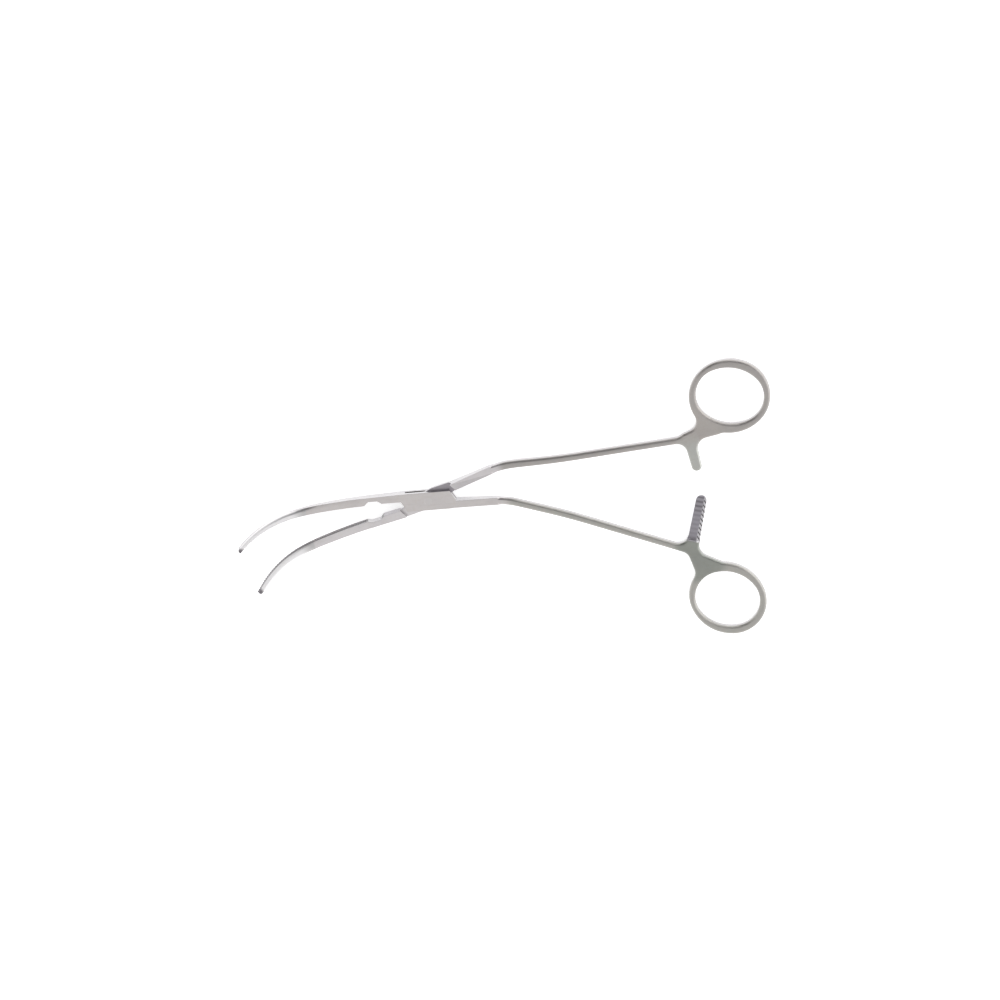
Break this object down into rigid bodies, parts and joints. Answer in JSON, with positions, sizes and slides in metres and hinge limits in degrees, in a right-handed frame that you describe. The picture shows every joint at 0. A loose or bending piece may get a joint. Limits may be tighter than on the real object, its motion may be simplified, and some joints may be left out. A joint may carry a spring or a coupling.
{
  "type": "vascular clamp",
  "caption": "Ring-handled vascular clamp, slightly open, with a box lock, curved jaws, offset shanks and a ratchet between the handles.",
  "frame": {"origin": "the hinge axis where it meets the flat back face of the box lock, on which the clamp lies", "axes": "+X along the box lock from the jaws to the finger rings, +Z out of the front face towards the viewer, +Y towards the upper finger ring"},
  "size_m": [0.2051, 0.1077, 0.0052],
  "materials": {
    "female_steel": "satin, fine lengthwise grinding",
    "male_steel": "satin, fine lengthwise grinding",
    "pin_steel": "satin, ground flush with the box"
  },
  "bodies": {
    "female_side": {"female_half": "female_steel", "lock_pin": "pin_steel"},
    "male_side": {"male_half": "male_steel"}
  },
  "joints": [
    {"name": "box_lock_hinge", "type": "hinge", "parent": "female_side", "child": "male_side", "pos_m": [0, 0, 0], "axis": [0, 0, 1], "range_deg": [-13, 32]}
  ]
}
